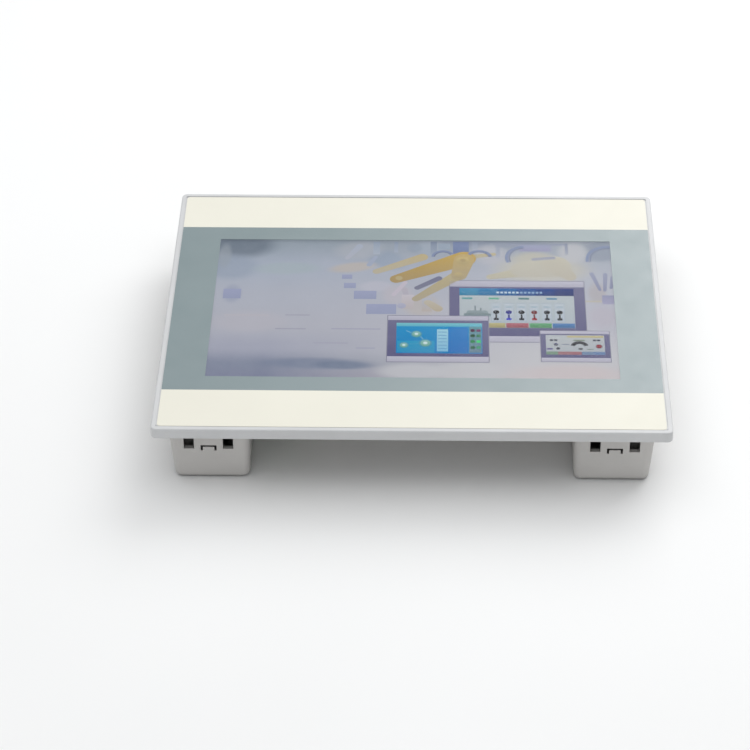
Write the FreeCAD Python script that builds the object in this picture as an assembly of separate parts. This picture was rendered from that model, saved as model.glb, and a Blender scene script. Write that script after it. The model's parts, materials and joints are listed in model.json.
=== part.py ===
import FreeCAD, Part

import math
import os

# Panel-mount operator terminal with a 10.1-inch touch screen, lying on its back.
# Millimetres. +X is the screen's right, +Y its top edge, +Z points out of the screen.
# The origin is under the middle of the unit, on the flat back that it lies on.

V = FreeCAD.Vector

# ---------------------------------------------------------------- driving dimensions
BEZEL_W, BEZEL_H = 271.0, 213.0  # the size of a 10.1-inch unit
BEZEL_T = 6.0
BEZEL_CORNER_R = 3.0
TOTAL_D = 40.0
FRONT_Z = TOTAL_D
FLANGE_Z = FRONT_Z - BEZEL_T  # the face that bears on the cabinet panel

RIM_W = 2.6  # raised rim around the overlay
RECESS_D = 0.4
OVERLAY_T = 0.25
OVERLAY_GAP = 0.6  # the thin groove between the rim and the overlay
OVERLAY_W = BEZEL_W - 2 * RIM_W - 2 * OVERLAY_GAP
OVERLAY_H = BEZEL_H - 2 * RIM_W - 2 * OVERLAY_GAP
MASK_H = 147.0  # the middle film, between the two decor strips
WINDOW_W, WINDOW_H = 220.3, 123.9  # clear window in the overlay
RECESS_Z = FRONT_Z - RECESS_D

LCD_W, LCD_H = 235.0, 143.0  # display module's outline
LCD_ACTIVE_W, LCD_ACTIVE_H = 222.7, 125.3
LCD_T = 5.0
LCD_SHEET = 0.4
TOUCH_W, TOUCH_H, TOUCH_T = 243.0, 151.0, 0.9
TOUCH_GASKET_T = 0.3
TOUCH_Z = RECESS_Z - TOUCH_T
RIBBON_SLOT_X, RIBBON_SLOT_Y = (19.0, 33.0), (73.6, 75.4)  # lets the sensor's tail through
LEDGE_Z = TOUCH_Z - TOUCH_GASKET_T
LCD_TOP_Z = LEDGE_Z
LCD_REAR_Z = LCD_TOP_Z - LCD_T

BODY_INSET_X, BODY_INSET_Y = 8.0, 7.2  # housing wall, in from the bezel's edge
BODY_HALF_X = BEZEL_W / 2 - BODY_INSET_X
BODY_HALF_Y = BEZEL_H / 2 - BODY_INSET_Y
WALL = 2.5
TRAY_Z = 29.0  # rear of the shallow tray over the wiring bay
TRAY_FLOOR = 2.0
CREASE_Z = 11.0  # the end faces lean in more steeply behind this
SIDE_SLOPE = 0.07
FACE_SLOPE = 0.015
REAR_FACE_SLOPE = 0.10
BAY_HALF_X = 84.6
BAY_SLOPE = 0.03
BAY_Y = -62.0  # wall that carries the connectors
REAR_EDGE_R = 2.5

CLAMP_X = 106.4  # middle of each clamp station
CLAMP_HOLE_PITCH = 20.6
CLAMP_HOLE_W = 5.5
CLAMP_HOLE_Z = (20.8, 29.4)
LATCH_W, LATCH_SLOT = 8.4, 1.2
LATCH_Z = (19.6, 23.2)

SEAL_INSET, SEAL_GROOVE_W, SEAL_GROOVE_D = 2.6, 3.2, 1.8
SEAL_PROUD = 0.8

CHASSIS_W, CHASSIS_H, CHASSIS_T = 224.0, 176.0, 1.2
CHASSIS_Z = LCD_REAR_Z - 0.5 - CHASSIS_T
CHASSIS_SCREWS = [(x, y) for x in (-108.0, 108.0) for y in (-84.0, 84.0)]
CHASSIS_SCREWS += [(-30.0, 84.0), (30.0, 84.0)]

BOARD_X = 95.0
BOARD_Y = (-58.0, 56.0)
BOARD_T = 1.6
STANDOFF_H = 4.8
BOARD_Z = CHASSIS_Z - STANDOFF_H - BOARD_T  # rear side of the board
BOARD_SCREWS = [(x, y) for x in (-90.0, 0.0, 90.0) for y in (-24.0, 51.0)]

WELL_SCREWS = [(x, y) for x in (-118.0, 118.0) for y in (-84.0, 84.0)]
WELL_SCREWS += [(-52.0, 90.5), (52.0, 90.5)]
TRAY_SCREWS = [(-52.0, -92.0), (52.0, -92.0)]
WELL_R, WELL_WALL, WELL_Z = 3.4, 1.6, 25.0

SCREW_SHANK_R, SCREW_HOLE_R, SCREW_CLEAR_R = 1.25, 1.30, 1.7
SCREW_HEAD_R, SCREW_HEAD_T = 2.8, 1.8
NUT_BORE_R = 1.15

# Connectors stand side by side along the wiring bay, in this order from -X.
BAY_MARGIN = 5.0
CONNECTOR_WIDTHS = {
    "power": 20.4,
    "dip": 12.0,
    "serial_1": 30.8,
    "serial_2": 30.8,
    "ethernet": 16.4,
    "usb_device": 12.0,
    "usb_host": 14.4,
}
CUTOUT_GAP = 0.4

POLES = 3
POLE_PITCH = 5.08
PLUG_W, PLUG_Z = 16.2, (13.9, 24.3)
PLUG_Y = (-74.0, -52.2)
PLUG_SCREW_Y = -68.6
CAGE_TRAVEL = 1.75
DIP_WAYS = 4
DIP_PITCH = 2.54
DIP_FACE_Y = BAY_Y - 0.3


# ---------------------------------------------------------------- helpers
def box(x, y, z):
    """A block between the low and high value of each pair."""
    size = [abs(high - low) for low, high in (x, y, z)]
    return Part.makeBox(*size, V(min(x), min(y), min(z)))


def around(middle, size):
    """The (low, high) pair of a length centred on a value."""
    return (middle - size / 2, middle + size / 2)


def cylinder(radius, base, length, direction=V(0, 0, 1)):
    return Part.makeCylinder(radius, length, base, direction)


def rounded_outline(corners, z):
    """A closed wire through (x, y, radius) corners, each rounded by a tangent arc."""
    edges = []
    last_end = None
    first_start = None
    count = len(corners)
    for i, (x, y, radius) in enumerate(corners):
        here = V(x, y, z)
        back = V(corners[i - 1][0], corners[i - 1][1], z) - here
        ahead = V(corners[(i + 1) % count][0], corners[(i + 1) % count][1], z) - here
        half = back.getAngle(ahead) / 2
        back.normalize()
        ahead.normalize()
        bisector = (back + ahead).normalize()
        start = here + back * (radius / math.tan(half))
        end = here + ahead * (radius / math.tan(half))
        middle = here + bisector * (radius / math.sin(half) - radius)
        if last_end is not None:
            edges.append(Part.makeLine(last_end, start))
        else:
            first_start = start
        edges.append(Part.Arc(start, middle, end).toShape())
        last_end = end
    edges.append(Part.makeLine(last_end, first_start))
    return Part.Wire(edges)


def rectangle(width, height, radius, z, centre=(0.0, 0.0)):
    x, y = centre
    signs = [(-1, -1), (1, -1), (1, 1), (-1, 1)]
    corners = [(x + sx * width / 2, y + sy * height / 2, radius) for sx, sy in signs]
    return rounded_outline(corners, z)


def plate(width, height, radius, z, centre=(0.0, 0.0)):
    """A flat plate with rounded corners between the two heights in z."""
    face = Part.Face(rectangle(width, height, radius, z[0], centre))
    return face.extrude(V(0, 0, z[1] - z[0]))


def ring(outer, inner, radius, z):
    """A rectangular frame between two (width, height) sizes."""
    hole = plate(inner[0], inner[1], max(radius - (outer[0] - inner[0]) / 2, 0.4), z)
    return plate(outer[0], outer[1], radius, z).cut(hole)


def hexagon(across_flats, base, length, direction):
    """A hexagonal prism along Z or -Y."""
    radius = across_flats / math.sqrt(3)
    points = []
    for i in range(7):
        angle = math.radians(60 * i)
        a, b = radius * math.cos(angle), radius * math.sin(angle)
        points.append(base + (V(a, b, 0) if abs(direction.z) > 0.5 else V(a, 0, b)))
    return Part.Face(Part.makePolygon(points)).extrude(direction * length)


def fuse(shapes):
    joined = shapes[0].fuse(shapes[1:]) if len(shapes) > 1 else shapes[0]
    return joined.removeSplitter()


def bundle(shapes):
    """Separate solids that share one node."""
    return Part.makeCompound(shapes)


def strip(profile, thickness, x):
    """A flat ribbon: a (y, z) path of straight runs, thickened and made as wide as x."""
    left, right = [], []
    for i, (y, z) in enumerate(profile):
        normals = []
        for a, b in ((i - 1, i), (i, i + 1)):
            if a >= 0 and b < len(profile):
                run = V(0, profile[b][0] - profile[a][0], profile[b][1] - profile[a][1])
                run.normalize()
                normals.append(V(0, -run.z, run.y))
        normal = (normals[0] + normals[-1]).normalize()
        reach = thickness / 2 / normal.dot(normals[0])
        left.append(V(x[0], y, z) + normal * reach)
        right.append(V(x[0], y, z) - normal * reach)
    outline = Part.makePolygon(left + right[::-1] + [left[0]])
    return Part.Face(outline).extrude(V(x[1] - x[0], 0, 0))


def connector_places():
    """The middle of each connector along X."""
    room = 2 * (BAY_HALF_X - BAY_MARGIN)
    gap = (room - sum(CONNECTOR_WIDTHS.values())) / (len(CONNECTOR_WIDTHS) - 1)
    places = {}
    x = -room / 2
    for name, width in CONNECTOR_WIDTHS.items():
        places[name] = x + width / 2
        x += width + gap
    return places


PLACE = connector_places()


def pole_places():
    return [PLACE["power"] + (i - (POLES - 1) / 2) * POLE_PITCH for i in range(POLES)]


def dip_places():
    return [PLACE["dip"] + (i - (DIP_WAYS - 1) / 2) * DIP_PITCH for i in range(DIP_WAYS)]


# ---------------------------------------------------------------- front
def front_bezel():
    frame = plate(BEZEL_W, BEZEL_H, BEZEL_CORNER_R, (FLANGE_Z, FRONT_Z))
    front = [e for e in frame.Edges if abs(e.BoundBox.ZMin - FRONT_Z) < 1e-6]
    frame = frame.makeFillet(0.8, front)
    plate_rear = FLANGE_Z + 2.0
    inner = 2 * (BODY_HALF_X - WALL), 2 * (BODY_HALF_Y - WALL)
    cuts = [
        plate(BEZEL_W - 2 * RIM_W, BEZEL_H - 2 * RIM_W, 2.0, (RECESS_Z, FRONT_Z + 1)),
        plate(TOUCH_W + 1, TOUCH_H + 1, 1.5, (LEDGE_Z, RECESS_Z)),
        plate(LCD_W + 1, LCD_H + 1, 1.0, (FLANGE_Z, LEDGE_Z)),
        plate(inner[0], inner[1], 1.5, (FLANGE_Z - 1, plate_rear)),
        seal_ring(SEAL_GROOVE_W, (FLANGE_Z - 1, FLANGE_Z + SEAL_GROOVE_D)),
        box(RIBBON_SLOT_X, RIBBON_SLOT_Y, (plate_rear - 1, LEDGE_Z + 1)),
    ]
    frame = frame.cut(cuts)
    bosses = []
    for x, y in CHASSIS_SCREWS:
        top = CHASSIS_Z + CHASSIS_T
        bosses.append(cylinder(3.2, V(x, y, top), plate_rear - top))
    for x, y in WELL_SCREWS + TRAY_SCREWS:
        bosses.append(cylinder(3.0, V(x, y, FLANGE_Z), plate_rear - FLANGE_Z))
    frame = fuse([frame] + bosses + bezel_hooks(plate_rear))
    holes = [
        cylinder(SCREW_HOLE_R, V(x, y, CHASSIS_Z), 37.4 - CHASSIS_Z)
        for x, y in CHASSIS_SCREWS
    ]
    holes += [
        cylinder(SCREW_HOLE_R, V(x, y, FLANGE_Z - 1), 4.8)
        for x, y in WELL_SCREWS + TRAY_SCREWS
    ]
    return frame.cut(holes)


def bezel_hooks(plate_rear):
    """A barbed leg behind each latch tongue of the housing."""
    hooks = []
    for x in (-CLAMP_X, CLAMP_X):
        for side in (-1, 1):
            wall_in = BODY_HALF_Y - WALL
            leg_y = sorted((side * (wall_in - 2.4), side * (wall_in - 0.8)))
            barb_y = sorted((side * (wall_in - 0.8), side * (wall_in + 0.9)))
            leg = box(around(x, 5.6), leg_y, (LATCH_Z[0], plate_rear))
            barb = box(around(x, 4.6), barb_y, (LATCH_Z[1] - LATCH_SLOT + 0.15, LATCH_Z[1] - 0.15))
            hooks.append(leg.fuse(barb))
    return hooks


def seal_ring(width, z):
    outer = BEZEL_W - 2 * SEAL_INSET, BEZEL_H - 2 * SEAL_INSET
    inner = outer[0] - 2 * width, outer[1] - 2 * width
    return ring(outer, inner, BEZEL_CORNER_R + 2, z)


def panel_seal():
    return seal_ring(SEAL_GROOVE_W, (FLANGE_Z - SEAL_PROUD, FLANGE_Z + SEAL_GROOVE_D))


def overlay_film():
    return plate(OVERLAY_W, OVERLAY_H, 1.8, (RECESS_Z, RECESS_Z + OVERLAY_T))


def overlay_mask():
    """Middle film, with the window that the screen shows through."""
    z = (RECESS_Z, RECESS_Z + OVERLAY_T)
    band = overlay_film().common(box(around(0, BEZEL_W), around(0, MASK_H), z))
    return band.cut(plate(WINDOW_W, WINDOW_H, 0.5, z))


def decor_strip(side):
    """Plain film that fills the overlay beyond the mask, at the top (1) or bottom (-1)."""
    z = (RECESS_Z, RECESS_Z + OVERLAY_T)
    y = sorted((side * MASK_H / 2, side * BEZEL_H / 2))
    return overlay_film().common(box(around(0, BEZEL_W), y, z))


def decor_strip_top():
    return decor_strip(1)


def decor_strip_bottom():
    return decor_strip(-1)


def touch_sensor():
    return plate(TOUCH_W, TOUCH_H, 1.0, (TOUCH_Z, RECESS_Z))


def touch_gasket():
    outer = TOUCH_W, TOUCH_H
    inner = LCD_W + 1.4, LCD_H + 1.4
    notch = box(RIBBON_SLOT_X, (RIBBON_SLOT_Y[0], TOUCH_H), (LEDGE_Z, TOUCH_Z))
    return ring(outer, inner, 1.0, (LEDGE_Z, TOUCH_Z)).cut(notch)


def touch_ribbon():
    turn_z = BOARD_Z + BOARD_T + 1.4
    path = [(74.4, TOUCH_Z), (74.4, turn_z), (52.5, turn_z)]
    return strip(path, 0.25, (20.0, 32.0))


# ---------------------------------------------------------------- display module
def lcd_frame():
    z = (LCD_REAR_Z, LCD_TOP_Z)
    frame = plate(LCD_W, LCD_H, 1.0, z)
    inside = plate(
        LCD_W - 2 * LCD_SHEET, LCD_H - 2 * LCD_SHEET, 0.6, (z[0], z[1] - LCD_SHEET)
    )
    view = plate(LCD_ACTIVE_W + 2.4, LCD_ACTIVE_H + 2.4, 0.6, (z[0], z[1]))
    return frame.cut([inside, view])


def lcd_cell():
    """Glass cell, with its front polariser standing up into the frame's opening."""
    top = LCD_TOP_Z - LCD_SHEET
    glass = plate(LCD_W - 1.6, LCD_H - 1.6, 0.5, (top - 1.2, top))
    polariser = plate(
        LCD_ACTIVE_W + 2.0, LCD_ACTIVE_H + 2.0, 0.5, (top, LCD_TOP_Z + 0.15)
    )
    return fuse([glass, polariser])


def backlight_tray():
    top = LCD_TOP_Z - LCD_SHEET - 1.2
    return plate(LCD_W - 1.2, LCD_H - 1.2, 0.5, (LCD_REAR_Z, top))


def lcd_ribbon():
    z = LCD_REAR_Z - 0.2
    path = [(62.0, z), (30.0, z), (30.0, BOARD_Z + BOARD_T + 2.4)]
    return strip(path, 0.2, (-48.0, -18.0))


# ---------------------------------------------------------------- chassis and board
def chassis_plate():
    z = (CHASSIS_Z, CHASSIS_Z + CHASSIS_T)
    sheet = plate(CHASSIS_W, CHASSIS_H, 3.0, z)
    cuts = [cylinder(SCREW_CLEAR_R, V(x, y, z[0]), CHASSIS_T) for x, y in CHASSIS_SCREWS]
    post_r = WELL_R + WELL_WALL + 0.6
    cuts += [cylinder(post_r, V(x, y, z[0]), CHASSIS_T) for x, y in WELL_SCREWS]
    cuts.append(box((-50.0, -16.0), (28.0, 33.0), z))
    cuts.append(box((18.0, 34.0), (72.5, 76.5), z))
    return sheet.cut(cuts)


def screw(x, y, head_z, shank_top):
    """A pan-head screw, its head towards the back of the unit, with a cross recess."""
    head = cylinder(SCREW_HEAD_R, V(x, y, head_z - SCREW_HEAD_T), SCREW_HEAD_T)
    rim = [e for e in head.Edges if abs(e.BoundBox.ZMax - (head_z - SCREW_HEAD_T)) < 1e-6]
    head = head.makeFillet(0.7, rim)
    shank = cylinder(SCREW_SHANK_R, V(x, y, head_z), shank_top - head_z)
    cross = [
        box(around(x, 3.2), around(y, 0.6), (head_z - SCREW_HEAD_T, head_z - 0.9)),
        box(around(x, 0.6), around(y, 3.2), (head_z - SCREW_HEAD_T, head_z - 0.9)),
    ]
    return head.fuse(shank).cut(cross)


def chassis_screws():
    return bundle([screw(x, y, CHASSIS_Z, 37.0) for x, y in CHASSIS_SCREWS])


def board_standoffs():
    pillars = []
    for x, y in BOARD_SCREWS:
        pillar = hexagon(5.5, V(x, y, BOARD_Z + BOARD_T), STANDOFF_H, V(0, 0, 1))
        hole = cylinder(SCREW_HOLE_R, V(x, y, BOARD_Z + BOARD_T), STANDOFF_H - 0.6)
        pillars.append(pillar.cut(hole))
    return bundle(pillars)


def main_board():
    board = plate(
        2 * BOARD_X,
        BOARD_Y[1] - BOARD_Y[0],
        2.0,
        (BOARD_Z, BOARD_Z + BOARD_T),
        (0, sum(BOARD_Y) / 2),
    )
    holes = [cylinder(SCREW_CLEAR_R, V(x, y, BOARD_Z), BOARD_T) for x, y in BOARD_SCREWS]
    return board.cut(holes)


def board_screws():
    return bundle([screw(x, y, BOARD_Z, BOARD_Z + BOARD_T + 3.6) for x, y in BOARD_SCREWS])


def under_board(middle, size, height):
    """A component standing on the board's rear side."""
    x, y = (around(m, s) for m, s in zip(middle, size))
    return box(x, y, (BOARD_Z - height, BOARD_Z))


PROCESSOR_AT = (-62.0, 34.0)
PROCESSOR_T = 1.6
HEATSINK_W, HEATSINK_BASE_T, HEATSINK_H = 30.0, 2.0, 9.0


def processor():
    return under_board(PROCESSOR_AT, (19.0, 19.0), PROCESSOR_T)


def processor_heatsink():
    top = BOARD_Z - PROCESSOR_T
    x, y = PROCESSOR_AT
    base = box(around(x, HEATSINK_W), around(y, HEATSINK_W), (top - HEATSINK_BASE_T, top))
    fin_z = (top - HEATSINK_H, top - HEATSINK_BASE_T)
    fins = [box(around(x + (i - 3) * 4.4, 1.2), around(y, HEATSINK_W), fin_z) for i in range(7)]
    return fuse([base] + fins)


def memory_chips():
    return bundle([under_board((x, 40.0), (11.0, 8.0), 1.1) for x in (-34.0, -20.0, -6.0)])


def filter_capacitors():
    cans = []
    for i in range(4):
        base = V(-82.0 + 11.0 * i, -6.0, BOARD_Z - 9.0)
        can = cylinder(4.0, base, 9.0)
        rim = [e for e in can.Edges if abs(e.BoundBox.ZMax - base.z) < 1e-6]
        cans.append(can.makeFillet(0.6, rim))
    return bundle(cans)


def power_inductors():
    return bundle([plate(10.0, 10.0, 2.0, (BOARD_Z - 4.5, BOARD_Z), (x, 12.0)) for x in (-78.0, -64.0)])


def coin_cell_holder():
    body = cylinder(12.0, V(62.0, 30.0, BOARD_Z - 4.6), 4.6)
    return body.cut(cylinder(10.1, V(62.0, 30.0, BOARD_Z - 4.6), 3.6))


def coin_cell():
    return cylinder(10.0, V(62.0, 30.0, BOARD_Z - 4.2), 3.2)


def buzzer():
    can = cylinder(6.0, V(24.0, 34.0, BOARD_Z - 7.0), 7.0)
    return can.cut(cylinder(1.0, V(24.0, 34.0, BOARD_Z - 7.0), 2.0))


def lcd_socket():
    z = BOARD_Z + BOARD_T
    socket = box((-50.0, -16.0), (27.4, 32.4), (z, z + 2.4))
    return socket


def touch_socket():
    z = BOARD_Z + BOARD_T
    socket = box((18.0, 34.0), (47.5, 52.5), (z, z + 2.4))
    return socket


# ---------------------------------------------------------------- connectors
def d_outline(wide, height, y, middle):
    """The D-shaped outline of a nine-way serial port, in the plane at y."""
    lean = height * math.tan(math.radians(10))
    top, bottom = wide / 2, wide / 2 - lean
    x, z = middle
    flat = rounded_outline(
        [
            (-bottom, -height / 2, 1.8),
            (bottom, -height / 2, 1.8),
            (top, height / 2, 1.8),
            (-top, height / 2, 1.8),
        ],
        0.0,
    )
    turn = FreeCAD.Placement(V(x, y, z), FreeCAD.Rotation(V(1, 0, 0), 90))
    flat.Placement = turn
    return flat


SERIAL_Z = BOARD_Z - 6.9
SERIAL_FLANGE_Y = (BAY_Y - 0.4, BAY_Y + 0.4)
SERIAL_MOUTH_Y = SERIAL_FLANGE_Y[0] - 5.6
SERIAL_NUT_SPACING = 25.0
SERIAL_NUT_L = 5.0


def d_prism(wide, height, name, y):
    face = Part.Face(d_outline(wide, height, y[1], (PLACE[name], SERIAL_Z)))
    return face.extrude(V(0, y[0] - y[1], 0))


def serial_shell(name):
    flange = box(around(PLACE[name], 30.8), SERIAL_FLANGE_Y, around(SERIAL_Z, 12.5))
    shell = d_prism(16.9, 8.4, name, (SERIAL_MOUTH_Y, SERIAL_FLANGE_Y[0]))
    inside = d_prism(15.9, 7.4, name, (SERIAL_MOUTH_Y, SERIAL_FLANGE_Y[1]))
    return flange.fuse(shell).cut(inside)


def serial_insert(name):
    """Insulator with nine sockets, and the moulded block behind the flange."""
    face = d_prism(15.7, 7.2, name, (SERIAL_MOUTH_Y + 0.4, SERIAL_FLANGE_Y[1]))
    block = box(
        around(PLACE[name], 30.0),
        (SERIAL_FLANGE_Y[1], SERIAL_FLANGE_Y[1] + 11.0),
        (SERIAL_Z - 5.4, BOARD_Z),
    )
    holes = []
    for row, count, z in ((0, 5, 1.42), (1, 4, -1.42)):
        for i in range(count):
            x = PLACE[name] + (i - (count - 1) / 2) * 2.77
            holes.append(cylinder(0.6, V(x, SERIAL_MOUTH_Y, SERIAL_Z + z), 4.5, V(0, 1, 0)))
    return face.fuse(block).cut(holes)


def serial_jack_nuts():
    nuts = []
    for name in ("serial_1", "serial_2"):
        for side in (-1, 1):
            x = PLACE[name] + side * SERIAL_NUT_SPACING / 2
            base = V(x, SERIAL_FLANGE_Y[0], SERIAL_Z)
            nut = hexagon(4.8, base, SERIAL_NUT_L, V(0, -1, 0))
            nuts.append(nut.cut(cylinder(NUT_BORE_R, base, SERIAL_NUT_L, V(0, -1, 0))))
    return bundle(nuts)


ETHERNET_MOUTH_Y = BAY_Y - 1.2
ETHERNET_Z = (BOARD_Z - 13.6, BOARD_Z)


def ethernet_shield():
    x, y = PLACE["ethernet"], (ETHERNET_MOUTH_Y, ETHERNET_MOUTH_Y + 21.0)
    can = box(around(x, 16.4), y, ETHERNET_Z)
    inside = box(around(x, 15.6), (y[0] - 1, y[1] - 0.4), (ETHERNET_Z[0] + 0.4, ETHERNET_Z[1]))
    return can.cut(inside)


def ethernet_insert():
    x = PLACE["ethernet"]
    y = (ETHERNET_MOUTH_Y + 0.3, ETHERNET_MOUTH_Y + 20.4)
    block = box(around(x, 15.5), y, (ETHERNET_Z[0] + 0.5, ETHERNET_Z[1]))
    low = ETHERNET_Z[0] + 1.6
    mouth = box(around(x, 11.8), (y[0] - 1, y[0] + 13.0), (low + 2.6, low + 9.4))
    latch = box(around(x, 6.2), (y[0] - 1, y[0] + 13.0), (low + 1.2, low + 2.6))
    tip = box(around(x, 3.4), (y[0] - 1, y[0] + 13.0), (low, low + 1.2))
    return block.cut([mouth, latch, tip])


def ethernet_contacts():
    x = PLACE["ethernet"]
    roof = ETHERNET_Z[0] + 1.6 + 9.4
    front = ETHERNET_MOUTH_Y + 3.0
    wires = []
    for i in range(8):
        place = around(x + (i - 3.5) * 1.02, 0.4)
        wires.append(box(place, (front, front + 10.3), (roof - 0.8, roof - 0.4)))
    return bundle(wires)


USB_MOUTH_Y = BAY_Y - 1.0


def usb_host_shell():
    x, z = PLACE["usb_host"], (BOARD_Z - 6.6, BOARD_Z - 0.4)
    can = box(around(x, 13.2), (USB_MOUTH_Y, USB_MOUTH_Y + 14.0), z)
    lip = box(around(x, 14.4), (USB_MOUTH_Y, USB_MOUTH_Y + 0.5), (z[0] - 0.6, z[1]))
    inside = box(around(x, 12.5), (USB_MOUTH_Y - 1, USB_MOUTH_Y + 13.6), (z[0] + 0.35, z[1] - 0.35))
    return can.fuse(lip).cut(inside)


def usb_host_tongue():
    x, top = PLACE["usb_host"], BOARD_Z - 0.75
    tongue = box(around(x, 11.0), (USB_MOUTH_Y + 1.2, USB_MOUTH_Y + 10.0), (top - 2.4, top - 0.6))
    back = box(around(x, 12.5), (USB_MOUTH_Y + 10.0, USB_MOUTH_Y + 13.6), (top - 5.5, top))
    return tongue.fuse(back)


def usb_device_shell():
    x, z = PLACE["usb_device"], (BOARD_Z - 10.8, BOARD_Z)
    can = box(around(x, 12.0), (USB_MOUTH_Y, USB_MOUTH_Y + 16.0), z)
    inside = box(around(x, 11.2), (USB_MOUTH_Y - 1, USB_MOUTH_Y + 15.6), (z[0] + 0.4, z[1] - 0.4))
    return can.cut(inside)


def usb_device_insert():
    """Plastic front with the squarish mouth, its two far corners cut, around a centre post."""
    x, z = PLACE["usb_device"], (BOARD_Z - 10.4, BOARD_Z - 0.4)
    block = box(around(x, 11.2), (USB_MOUTH_Y + 0.3, USB_MOUTH_Y + 15.6), z)
    middle = sum(z) / 2
    corners = [(-4.2, 3.9), (-4.2, -2.3), (-2.6, -3.9), (2.6, -3.9), (4.2, -2.3), (4.2, 3.9)]
    points = [V(x + a, USB_MOUTH_Y - 1, middle + b) for a, b in corners]
    mouth = Part.Face(Part.makePolygon(points + points[:1])).extrude(V(0, 10.3, 0))
    post = box(around(x, 5.6), (USB_MOUTH_Y + 1.2, USB_MOUTH_Y + 9.4), around(middle, 3.2))
    return block.cut(mouth).fuse(post)


HEADER_Y = (BAY_Y - 1.0, BAY_Y + 12.0)
HEADER_Z = (PLUG_Z[0] - 1.0, BOARD_Z)
PIN_Z = (17.6, 18.6)
BAR_Z = (19.1, 19.9)


def power_socket():
    """Header on the board: an open shroud that the plug slides into."""
    x = PLACE["power"]
    shroud = box(around(x, 20.4), HEADER_Y, HEADER_Z)
    cavity = box(
        around(x, PLUG_W + 0.6),
        (HEADER_Y[0] - 1, HEADER_Y[1] - 1.6),
        (PLUG_Z[0] - 0.3, PLUG_Z[1] + 0.3),
    )
    pins = [box(around(p, 1.0), (HEADER_Y[1] - 1.6, HEADER_Y[1]), PIN_Z) for p in pole_places()]
    return shroud.cut([cavity] + pins)


def power_pins():
    pins = []
    for x in pole_places():
        blade = box(around(x, 1.0), (HEADER_Y[0] + 2.5, HEADER_Y[1] + 1.5), PIN_Z)
        tail = box(around(x, 1.0), (HEADER_Y[1] + 0.5, HEADER_Y[1] + 1.5), (PIN_Z[0], BOARD_Z))
        pins.append(blade.fuse(tail))
    return bundle(pins)


CAGE_Z = (17.9, 23.6)
CHAMBER_Z = (CAGE_Z[0] - CAGE_TRAVEL - 0.1, CAGE_Z[1] + 0.1)
SCREW_SEAT_Z = CHAMBER_Z[0] - 0.6
TERMINAL_HEAD_R, TERMINAL_SHANK_R = 1.9, 1.2


def power_plug():
    """Three-way terminal plug: funnels for the wires, a chamber and a screw bore per pole."""
    x = PLACE["power"]
    body = box(around(x, PLUG_W), PLUG_Y, PLUG_Z)
    edges = [e for e in body.Edges if abs(e.BoundBox.YMax - PLUG_Y[0]) < 1e-6]
    body = body.makeChamfer(0.5, edges)
    cuts = []
    for p in pole_places():
        at = V(p, PLUG_SCREW_Y, PLUG_Z[0])
        cuts.append(cylinder(TERMINAL_HEAD_R + 0.1, at, SCREW_SEAT_Z - PLUG_Z[0]))
        cuts.append(cylinder(TERMINAL_SHANK_R + 0.1, at, CHAMBER_Z[0] - PLUG_Z[0] + 0.1))
        cuts.append(box(around(p, 4.5), around(PLUG_SCREW_Y, 4.8), CHAMBER_Z))
        cuts.append(box(around(p, 3.4), (PLUG_Y[0], PLUG_SCREW_Y), (BAR_Z[1], 23.0)))
        cuts.append(box(around(p, 2.6), (PLUG_SCREW_Y, PLUG_Y[1] - 3.0), BAR_Z))
        cuts.append(box(around(p, 2.6), (HEADER_Y[0] + 2.0, PLUG_Y[1]), (PIN_Z[0] - 0.4, BAR_Z[1])))
    return body.cut(cuts)


def plug_contacts():
    bars = []
    for p in pole_places():
        bars.append(box(around(p, 2.4), (PLUG_SCREW_Y - 2.0, PLUG_Y[1] - 3.0), BAR_Z))
    return bundle(bars)


def terminal_screw(pole):
    x = pole_places()[pole]
    head = cylinder(TERMINAL_HEAD_R, V(x, PLUG_SCREW_Y, PLUG_Z[0] + 0.1), 1.4)
    shank = cylinder(TERMINAL_SHANK_R, V(x, PLUG_SCREW_Y, PLUG_Z[0] + 1.5), 3.5)
    slot = box(around(x, 4.0), around(PLUG_SCREW_Y, 0.6), (PLUG_Z[0], PLUG_Z[0] + 0.9))
    return head.fuse(shank).cut(slot)


def terminal_cage(pole):
    """Wire cage that the screw draws towards its head."""
    x = pole_places()[pole]
    cage = box(around(x, 4.3), around(PLUG_SCREW_Y, 4.5), CAGE_Z)
    inside = box(around(x, 3.2), around(PLUG_SCREW_Y, 5.0), (CAGE_Z[0] + 0.8, CAGE_Z[1] - 0.8))
    hole = cylinder(TERMINAL_SHANK_R + 0.1, V(x, PLUG_SCREW_Y, CAGE_Z[0]), 0.8)
    return cage.cut([inside, hole])


SLIDER_TRAVEL = 1.9
DIP_SLOT_Z = (19.4, 23.0)


def dip_switch():
    body = box(around(PLACE["dip"], 12.0), (DIP_FACE_Y, DIP_FACE_Y + 5.5), (BOARD_Z - 7.6, BOARD_Z))
    slots = [box(around(x, 1.7), (DIP_FACE_Y, DIP_FACE_Y + 1.5), DIP_SLOT_Z) for x in dip_places()]
    return body.cut(slots)


def dip_slider(way):
    x = dip_places()[way]
    z = (DIP_SLOT_Z[0] + 0.1, DIP_SLOT_Z[0] + 1.6)
    return box(around(x, 1.4), (DIP_FACE_Y - 0.6, DIP_FACE_Y + 1.4), z)


# ---------------------------------------------------------------- rear housing
def body_size(z):
    """Half width, half height and the bay's half width of the housing at a height."""
    down = FLANGE_Z - z
    half_x = BODY_HALF_X - SIDE_SLOPE * down
    half_y = BODY_HALF_Y - FACE_SLOPE * down - REAR_FACE_SLOPE * max(0.0, CREASE_Z - z)
    return half_x, half_y, BAY_HALF_X + BAY_SLOPE * down


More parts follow.
